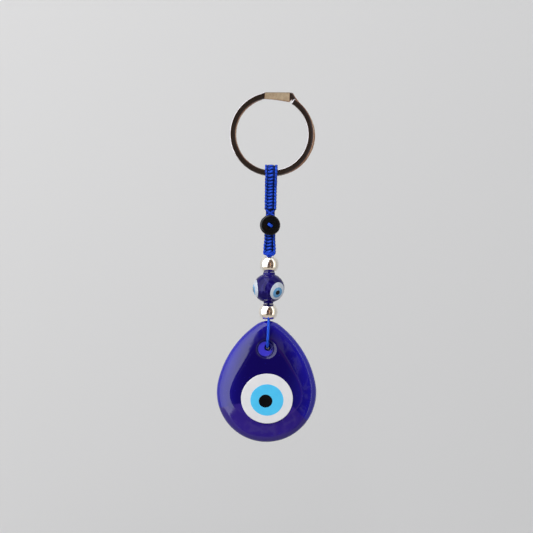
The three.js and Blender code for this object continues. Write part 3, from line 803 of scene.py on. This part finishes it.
def silver_piece(name, cad, body, top, bottom):
    """A metal ball whose mouths are dished in round the bore."""
    half = (top - bottom) / 2
    outer = 3.15
    mouth = 1.72
    lip = math.degrees(math.acos((mouth + 0.18) / outer))
    profile = arc(0, 0, outer, -lip, lip, 40)
    y = outer * math.sin(math.radians(lip))
    profile += [(mouth, y - 0.08), (mouth - 0.22, y - 0.32), (1.2, half - 0.85), (1.15, half - 1.3)]
    profile += [(1.15, -half + 1.3), (1.2, -half + 0.85), (mouth - 0.22, -y + 0.32), (mouth, -y + 0.08)]
    build = Build()
    build.lathe(profile, 112, centre=(0, 0, (top + bottom) / 2))
    thing = build.make(name, SILVER)
    finish(thing, body, "silver_bead", cad)


silver_piece("upper_silver_ball", "upper_silver_bead", "upper_silver", -52.85, -57.95)
silver_piece("lower_silver_ball", "lower_silver_bead", "lower_silver", -68.55, -73.75)


# ---------------------------------------------------------------- eye bead

BEAD_TOP, BEAD_BOTTOM = -58.0, -68.5
BEAD_Z = (BEAD_TOP + BEAD_BOTTOM) / 2
BEAD_R, BEAD_H = 5.25, 4.9


def bead_glass_piece():
    """The round cobalt body, with a narrow neck below and a wider collar above."""
    half = (BEAD_TOP - BEAD_BOTTOM) / 2
    neck, collar = 1.62, 2.0
    low = -math.acos(neck / BEAD_R)
    high = math.acos(collar / BEAD_R)
    profile = [(1.15, -half + 0.2), (1.2, -half + 0.04), (1.3, -half),
               (1.5, -half + 0.02), (1.6, -half + 0.12), (neck, -half + 0.3)]
    for t in np.linspace(low, high, 56):
        profile.append((BEAD_R * math.cos(t), BEAD_H * math.sin(t)))
    profile += [(collar, half - 0.3), (1.97, half - 0.1), (1.85, half),
                (1.3, half), (1.2, half - 0.04), (1.15, half - 0.2)]
    build = Build()
    build.lathe(profile, 128, centre=(0, 0, BEAD_Z))
    thing = build.make("eye_bead_body", BEAD_COBALT)
    z = np.array([v.co.z for v in thing.data.vertices]) / MM
    # Painted light: the bead glows brighter towards its top and bottom, where its glass is thin.
    thin_glass_glow = np.clip((np.abs(z - BEAD_Z) - 2.6) / 2.6, 0, 1)
    set_value(thing, "thin_glass_glow", thin_glass_glow.astype(np.float32))
    finish(thing, "eye_bead", "cobalt_glass", "eye_bead_glass")


bead_glass_piece()


# A lens from its middle out: share of its radius, and share of its height over the glass.
LENS = ((0.0, 1.0), (0.2, 1.0), (0.4, 1.0), (0.6, 1.0), (0.78, 1.0),
        (0.9, 0.95), (0.96, 0.8), (0.99, 0.5), (1.0, 0.0), (1.0, -6.0))


def bead_eye_layer(name, cad, slot, material, azimuth, dip, radius, proud, seed):
    """A lens of glass on the bead: it follows the round surface and has a soft edge."""
    spin = np.random.RandomState(seed)
    p1, p2 = spin.uniform(0, 6.28, 2)
    drop = math.radians(dip)
    a = math.radians(azimuth)
    out = np.array([math.sin(a) * math.cos(drop), -math.cos(a) * math.cos(drop), -math.sin(drop)])
    right = np.array([math.cos(a), math.sin(a), 0.0])
    up = np.cross(right, out)
    up /= np.linalg.norm(up)
    around = np.linspace(0, 2 * np.pi, 72, endpoint=False)
    wobble = 1 + 0.012 * np.cos(2 * around + p1) + 0.010 * np.cos(3 * around + p2)
    rows = []
    for share, lift in LENS:
        r = radius * share * wobble
        flat = r[:, None] * (np.cos(around)[:, None] * right + np.sin(around)[:, None] * up)
        direction = flat + out * np.sqrt(np.maximum(BEAD_R ** 2 - r ** 2, 0.01))[:, None]
        direction /= np.linalg.norm(direction, axis=1, keepdims=True)
        level = (direction[:, 0] ** 2 + direction[:, 1] ** 2) / BEAD_R ** 2
        surface = 1 / np.sqrt(level + direction[:, 2] ** 2 / BEAD_H ** 2)
        rows.append(direction * (surface + proud * lift)[:, None] + np.array([0, 0, BEAD_Z]))
    rows = np.array(rows)
    build = Build()
    build.grid(rows, (np.linspace(0, 1, 73), np.linspace(0, 1, len(rows))), wrap=True)
    build.cap(rows[-1])
    thing = build.make(name, material, weld=1e-4)
    finish(thing, "eye_bead", slot, cad)


for number, (azimuth, dip) in enumerate(((42, 13), (162, 9), (282, 4)), start=1):
    eye = f"bead_eye{number}"
    bead_eye_layer(f"{eye}_white_lens", f"{eye}_white", "white_glass", BEAD_WHITE,
                   azimuth, dip, 3.0, 0.045, number)
    bead_eye_layer(f"{eye}_blue_lens", f"{eye}_light_blue", "light_blue_glass", BEAD_SKY,
                   azimuth - 3, dip + 4, 1.85, 0.075, number + 10)
    bead_eye_layer(f"{eye}_pupil_lens", f"{eye}_pupil", "black_glass", BLACK,
                   azimuth - 5, dip + 3, 0.82, 0.11, number + 20)


# ---------------------------------------------------------------- glass drop

DROP_TOP = -74.15
DROP_BACK = 3.0
HOLE_Z = DROP_TOP - 8.95
HOLE_R = 0.95
WAIST = 0.47
DISH = (-0.6, HOLE_Z - 0.35)
DISH_FLOOR_R, DISH_DEPTH = 2.42, 1.06
EYE_Z = DROP_TOP - 25.85


def drop_outline(inset, steps=(150, 40, 50, 40)):
    """The egg outline set in from its edge: bottom circle, two flanks and top circle."""
    bottom_r, top_r, flank_r = 16.6, 6.3, 32.0
    bottom_depth = 23.85
    span = bottom_depth - top_r
    to_bottom, to_top = flank_r - bottom_r, flank_r - top_r
    below = (to_top ** 2 - to_bottom ** 2 - span ** 2) / (2 * span)
    aside = math.sqrt(to_bottom ** 2 - below ** 2)
    flank_z = DROP_TOP - bottom_depth - below
    low, high = math.atan2(below, aside), math.atan2(below + span, aside)
    arcs = ((0, DROP_TOP - bottom_depth, bottom_r, math.pi - low, 2 * math.pi + low),
            (-aside, flank_z, flank_r, low, high),
            (0, DROP_TOP - top_r, top_r, high, math.pi - high),
            (aside, flank_z, flank_r, math.pi - high, math.pi - low))
    points = []
    for (x, z, r, start, end), count in zip(arcs, steps):
        for t in np.linspace(start, end, count, endpoint=False):
            points.append((x + (r - inset) * math.cos(t), z + (r - inset) * math.sin(t)))
    return np.array(points)


def drop_surface(x, z, inset, front):
    """Distance in front of (or behind) the edge plane: rounded edge, gentle dome, the hole's dish."""
    if not front:
        reach = np.clip(1 - inset / 3.0, 0, 1)
        back = DROP_BACK * np.sqrt(np.clip(1 - reach ** 2, 0, 1))
        away = np.hypot(x, z - HOLE_Z)
        return back - 0.3 * np.clip((1.4 - away) / 0.5, 0, 1) ** 2
    knee = 4.6 + 1.6 * ease((z + 99) / 12.0) + 3.5 * ease((-100 - z) / 10.0)
    rounded = 2.15 * np.sqrt(np.clip(1 - (1 - np.clip(inset / 2.1, 0, 1)) ** 2, 0, 1))
    t = inset / knee
    bevel = np.where(t < 0.88, t, np.where(t > 1.12, 1.0, t - (t - 0.88) ** 2 / 0.48))
    height = rounded + 1.5 * (0.86 * bevel + 0.14 * (1 - (1 - np.clip(t, 0, 1)) ** 3))
    dome = np.clip(1 - ((x / 15.5) ** 2 + ((z - (EYE_Z + 3.5)) / 19.0) ** 2), 0, 1)
    height = height + 0.30 * dome ** 1.2
    d = np.hypot(x - DISH[0], z - DISH[1])
    outer = 3.55 + 0.45 * np.clip((x - DISH[0]) / 3.0, 0, 1)
    fall = np.clip((outer - d) / (outer - DISH_FLOOR_R), 0, 1)
    wall = DISH_DEPTH * np.where(fall < 0.8, fall ** 2.0, 1 - 1.8 * (1 - fall))
    edge = 0.5 * np.clip((HOLE_R + 0.35 - np.hypot(x, z - HOLE_Z)) / 0.35, 0, 1) ** 2
    return height - wall - edge


def drop_piece():
    """The cobalt body: rings in from the outline on both faces, joined through the hole's waist."""

    def rows(front):
        made = []
        deepest = 5.6 if front else 3.0
        for t in np.linspace(0, 1, 30):
            inset = deepest * (1 - math.cos(t * math.pi / 2))
            outline = drop_outline(inset)
            y = drop_surface(outline[:, 0], outline[:, 1], inset, front)
            made.append(np.stack([outline[:, 0], -y if front else y, outline[:, 1]], 1))
        last = drop_outline(deepest)
        angle = np.arctan2(last[:, 1] - HOLE_Z, last[:, 0])
        radius = np.hypot(last[:, 0], last[:, 1] - HOLE_Z)
        for share in np.concatenate([np.linspace(0, 0.8, 40)[1:], np.linspace(0.8, 1, 42)[1:]]):
            r = radius + (HOLE_R - radius) * share
            x, z = r * np.cos(angle), HOLE_Z + r * np.sin(angle)
            inset = nearest(x, z) if front else np.full(len(x), deepest)
            y = drop_surface(x, z, inset, front)
            made.append(np.stack([x, -y if front else y, z], 1))
        return np.array(made)

    front, back = rows(True), rows(False)
    depth = np.linspace(0, 1, 13)
    bore = np.array([front[-1] * (1 - t) + back[-1] * t for t in depth])
    pinch = np.exp(-((depth - 0.5) / 0.11) ** 2)
    for ring, amount in zip(bore, pinch):
        ring[:, 0] = ring[:, 0] * (1 - WAIST * amount)
        ring[:, 2] = HOLE_Z + (ring[:, 2] - HOLE_Z) * (1 - WAIST * amount)
    whole = np.vstack([back[::-1][:-1], front, bore[1:]])
    build = Build()
    build.grid(whole, (np.linspace(0, 1, whole.shape[1] + 1), np.linspace(0, 1, len(whole))), wrap=True)
    thing = build.make("drop_glass_body", COBALT, weld=1e-4)
    drop_shading(thing)
    finish(thing, "drop", "cobalt_glass", "pendant_glass")


def drop_shading(thing):
    """Painted light on the glass: a glow where it is thin and in bands at the sides and bottom, painted light
    where the dish's floor is lit, and a painted reflection over the lower front.
    """
    points = np.empty(len(thing.data.vertices) * 3, np.float32)
    thing.data.vertices.foreach_get("co", points)
    points = points.reshape(-1, 3) / MM
    x, y, z = points.T
    # Painted light: brighter near the outline, less a round spot at the left, plus bands at the sides and
    # bottom.
    share = np.clip(1 - nearest(x, z) / 6.5, 0, 1) ** 1.7 * 0.75
    share = share * (1 - 0.9 * np.exp(-((x + 11.7) ** 2 + (z + 102.5) ** 2) / 1.2))
    side = 0.20 * np.exp(-((np.abs(x) - 12.0) / 3.5) ** 2) + 0.15 * ease((EYE_Z - 4 - z) / 8)
    set_value(thing, "thin_glass_glow", np.clip(share + side, 0, 1).astype(np.float32))
    floor = ease((2.55 - np.hypot(x - DISH[0] + 0.15, z - DISH[1] + 0.05)) / 0.3) * (y < 0)
    floor = floor * (1 - 0.9 * ease((1.5 - np.hypot(x - 0.5, z - HOLE_Z - 0.15)) / 0.35))
    set_value(thing, "lit", (0.9 * floor).astype(np.float32))
    # Painted reflection: the front below a wavy line takes a paler blue, less a round dark spot at the left.
    reflection_line = -102.0 - 1.15 * np.clip(x - 9.0, 0, 9) - 0.12 * np.clip(-9.0 - x, 0, 9) + 0.35 * np.sin(x * 0.55)
    blob = ease((1.15 - np.hypot(x + 11.7, (z + 102.5) * 0.8)) / 0.5)
    set_value(thing, "painted_reflection", (0.95 * ease((reflection_line - z) / 0.35) * (1 - blob) * (y < 0)).astype(np.float32))


def nearest(x, z):
    """Distance from points to the drop's outline."""
    outline = drop_outline(0.0)
    return np.hypot(x[:, None] - outline[None, :, 0], z[:, None] - outline[None, :, 1]).min(1)


drop_piece()


def drop_eye_layer(name, cad, slot, material, radius, face, centre, seed):
    """A nearly round disc of the drop's eye, with a soft edge and a face slightly crowned."""
    spin = np.random.RandomState(seed)
    phases = spin.uniform(0, 6.28, 3)

    def wobble(a):
        slow = 1 + 0.004 * np.cos(2 * a + phases[0]) + 0.004 * np.cos(3 * a + phases[1])
        return slow + 0.002 * np.cos(7 * a + phases[2])

    sag = 0.04 if radius > 3 else 0.08
    profile = [(radius * s, -face + sag * s * s * 1.3) for s in (0.0, 0.15, 0.3, 0.45, 0.6, 0.75, 0.85)]
    profile += arc(radius - 0.16, -face + 0.21, 0.16, -90, 0, 7)
    profile += [(radius, -face + 0.9), (0.0, -face + 0.9)]
    build = Build()
    build.lathe(profile, 160, axis="y", wobble=wobble, closed=False)
    squash = np.array([1, 1, 0.955])
    shift = np.array([centre[0], 0, centre[1]])
    thing = build.make(name, material, place=lambda points: points * squash + shift, weld=1e-4)
    finish(thing, "drop", slot, cad)


drop_eye_layer("drop_white_disc", "pendant_white", "white_glass", WHITE,
               8.65, 4.06, (0.18, EYE_Z), 3)
drop_eye_layer("drop_blue_disc", "pendant_light_blue", "light_blue_glass", SKY,
               5.55, 4.12, (0.2, EYE_Z - 0.45), 4)
drop_eye_layer("drop_pupil_disc", "pendant_pupil", "black_glass", BLACK,
               2.28, 4.26, (-0.27, EYE_Z - 0.8), 5)


def drop_loop_piece():
    """The cord from the last bead, over the glass, through the hole and up behind."""
    lie = 0.5

    def over(side, height, round_in):
        """The run over the glass's rounded edge, on the front (-1) or the rear (1)."""

        def at(inset):
            return height * math.sqrt(1 - (1 - min(inset / round_in, 1)) ** 2)

        points = []
        for inset in (0.25, 0.5, 1, 2, 3, 4.2):
            y = at(inset)
            slope = (at(inset + 0.01) - y) / 0.01
            out = lie / math.hypot(1, slope)
            points.append((side * (y + out), DROP_TOP - inset + out * slope))
        return points

    top = -72.6
    hole_top = HOLE_Z + HOLE_R - lie - 0.03
    dish_top = DISH[1] + 3.2
    route = [(-0.5, top), (-0.52, top - 0.55), (-0.8, top - 1.05)]
    route += over(-1, 3.85, 5.6)
    route += [(-4.36, dish_top + 0.7), (-4.32, dish_top - 0.05), (-3.78, hole_top + 1.25),
              (-3.08, hole_top + 0.2), (-2.3, hole_top), (-0.9, HOLE_Z + 0.08), (0.15, HOLE_Z),
              (1.2, HOLE_Z + 0.08), (2.35, hole_top), (3.3, hole_top + 0.25), (3.53, hole_top + 1.1)]
    route += over(1, 3.0, 3.0)[::-1]
    route += [(0.8, top - 1.05), (0.52, top - 0.55), (0.5, top)]
    points = [(0.28 * (1 - min(1.0, (top - z) / (top - hole_top - 1.2))), y, z) for y, z in route]
    build = Build()
    build.tube(smooth_path(points, 7), 0.46, 16, round_ends=False)
    thing = build.make("drop_cord_loop", CORD_FREE, weld=0)
    finish(thing, "drop_loop", "braid_cord", "pendant_cord")


drop_loop_piece()


# ---------------------------------------------------------------- carried-over inner cords

# The inner cords take the near-black core colour: painted shade.
for name in ("strap_core_left", "strap_core_right", "lower_core_left", "lower_core_right",
             "bead_cord_front", "bead_cord_rear"):
    cad = frame["nodes"][name]
    if not cad.data.uv_layers:
        cad.data.uv_layers.new(name="UVMap")
    cad.data.materials.clear()
    cad.data.materials.append(CORE_IN_SHADE)


# ---------------------------------------------------------------- backdrop and light

def backdrop():
    """A plain pale wall well behind the charm, seen from its front only."""
    mesh = bpy.data.meshes.new("backdrop")
    y, half = 0.16, 1.6
    corners = [(-half, y, -half), (half, y, -half), (half, y, half), (-half, y, half)]
    mesh.from_pydata(corners, [], [(0, 1, 2, 3)])
    wall = add_object("backdrop", mesh)
    material = bpy.data.materials.new("pale_wall")
    material.use_nodes = True
    tree = material.node_tree
    tree.nodes.clear()
    out = tree.nodes.new("ShaderNodeOutputMaterial")
    paint = node(tree, "ShaderNodeBsdfDiffuse", {"Color": (0.69, 0.69, 0.695, 1.0)})
    clear = node(tree, "ShaderNodeBsdfTransparent")
    facing = node(tree, "ShaderNodeNewGeometry")
    mix_shaders(tree, facing.outputs["Backfacing"], paint.outputs[0], clear.outputs[0], out)
    mesh.materials.append(material)


def area(name, place, target, width, height, power, colour=(1, 1, 1)):
    """A soft lamp that lights surfaces but is not seen in reflections."""
    data = bpy.data.lights.new(name, "AREA")
    data.shape = "RECTANGLE"
    data.size = width
    data.size_y = height
    data.energy = power
    data.color = colour
    light = add_object(name, data)
    light.location = place
    light.rotation_euler = (Vector(target) - Vector(place)).to_track_quat("-Z", "Y").to_euler()
    light.visible_glossy = False


def world():
    """Pale to the eye and as fill. In reflections: a dark, blotched room in front, a bright window pane
    at the left, a narrow bright strip at the right, cream side walls, a brown floor and dark behind."""
    made = bpy.data.worlds.new("studio")
    bpy.context.scene.world = made
    made.use_nodes = True
    tree = made.node_tree
    tree.nodes.clear()
    out = tree.nodes.new("ShaderNodeOutputWorld")
    way = node(tree, "ShaderNodeTexCoord").outputs["Generated"]
    split = node(tree, "ShaderNodeSeparateXYZ", {"Vector": way})
    front = times(tree, split.outputs[1], -1.0)
    across = times(tree, math_node(tree, "ARCTAN2", split.outputs[0], front), 180 / math.pi)
    rise = times(tree, math_node(tree, "ARCSINE", split.outputs[2]), 180 / math.pi)

    def band(value, low, high, soft):
        """1 between two angles in degrees, 0 outside them, with edges softened over some degrees."""
        up = rescale(tree, value, low - soft / 2, low + soft / 2, 0.0, 1.0)
        down = rescale(tree, value, high - soft / 2, high + soft / 2, 1.0, 0.0)
        return times(tree, up, down)

    def both(one, other):
        return times(tree, one, other)

    blotch = noise(tree, way, 4.2, 3.0, 0.6)
    seen = mix(tree, band(rise, 30, 95, 30.0), (0.84, 0.80, 0.70), (0.95, 0.93, 0.88))
    seen = mix(tree, band(rise, -95, -30, 12.0), seen, (0.62, 0.56, 0.50))
    behind = math_node(tree, "ABSOLUTE", across)
    seen = mix(tree, band(behind, 140, 400, 10.0), seen, (0.16, 0.15, 0.12))
    room = both(band(across, -26, 52, 3.0), band(rise, -44, 58, 6.0))
    dark = ramp(tree, blotch, [(0.36, (0.018, 0.012, 0.010)), (0.47, (0.07, 0.04, 0.03)),
                               (0.51, (0.26, 0.15, 0.12)), (0.55, (0.70, 0.62, 0.55)),
                               (0.58, (0.05, 0.03, 0.02))])
    near = both(band(across, -9, 8.5, 2.0), band(rise, -12, 12, 4.0))
    dark = mix(tree, near, dark, (0.044, 0.031, 0.024))
    seen = mix(tree, room, seen, dark)
    level = band(rise, -20, 20, 6.0)
    seen = mix(tree, both(band(across, 3.0, 5.5, 1.5), level), seen, (0.10, 0.12, 0.16))
    seen = mix(tree, both(band(across, 6.0, 14.8, 1.0), level), seen, (0.42, 0.14, 0.05))
    seen = mix(tree, both(band(across, 15.2, 20, 0.6), level), seen, (0.78, 0.65, 0.46))
    seen = mix(tree, both(band(across, -14, 8, 4.0), band(rise, -15, -5, 3.0)), seen, (0.11, 0.12, 0.14))
    above = math_node(tree, "MAXIMUM", rise, 0.0)
    leaning = math_node(tree, "SUBTRACT", across, times(tree, above, 0.38))
    pane = both(band(leaning, -130, -27, 1.5), band(rise, -24, 82, 2.0))
    strip = both(band(across, 64, 68, 1.5), band(rise, -30, 60, 4.0))
    seen = mix(tree, strip, seen, (1.0, 1.0, 1.0))
    fade = rescale(tree, across, -105.0, -32.0, 2.2, 4.8)
    glow = plus(tree, times(tree, strip, 3.0), 1.0)
    strength = rescale(tree, pane, 0.0, 1.0, glow, fade)
    seen = mix(tree, pane, seen, (0.86, 0.87, 1.0))
    path = node(tree, "ShaderNodeLightPath")
    glossy = node(tree, "ShaderNodeBackground", {"Color": seen, "Strength": strength})
    backing = rescale(tree, path.outputs["Is Camera Ray"], 0.0, 1.0, 0.50, 0.80)
    plain = node(tree, "ShaderNodeBackground", {"Color": (0.86, 0.87, 0.88, 1.0), "Strength": backing})
    mix_shaders(tree, path.outputs["Is Glossy Ray"], plain.outputs[0], glossy.outputs[0], out)


backdrop()
world()
middle = (0.0, 0.0, -0.06)
area("window_left", (-0.55, -0.42, 0.22), middle, 0.34, 0.75, 3.2, (1.0, 0.98, 0.96))
area("fill_front", (0.15, -0.9, 0.45), middle, 0.8, 0.5, 3.0)
area("wall_wash", (-0.3, -0.5, 0.6), (0.0, 0.16, -0.06), 0.6, 0.3, 1.0)
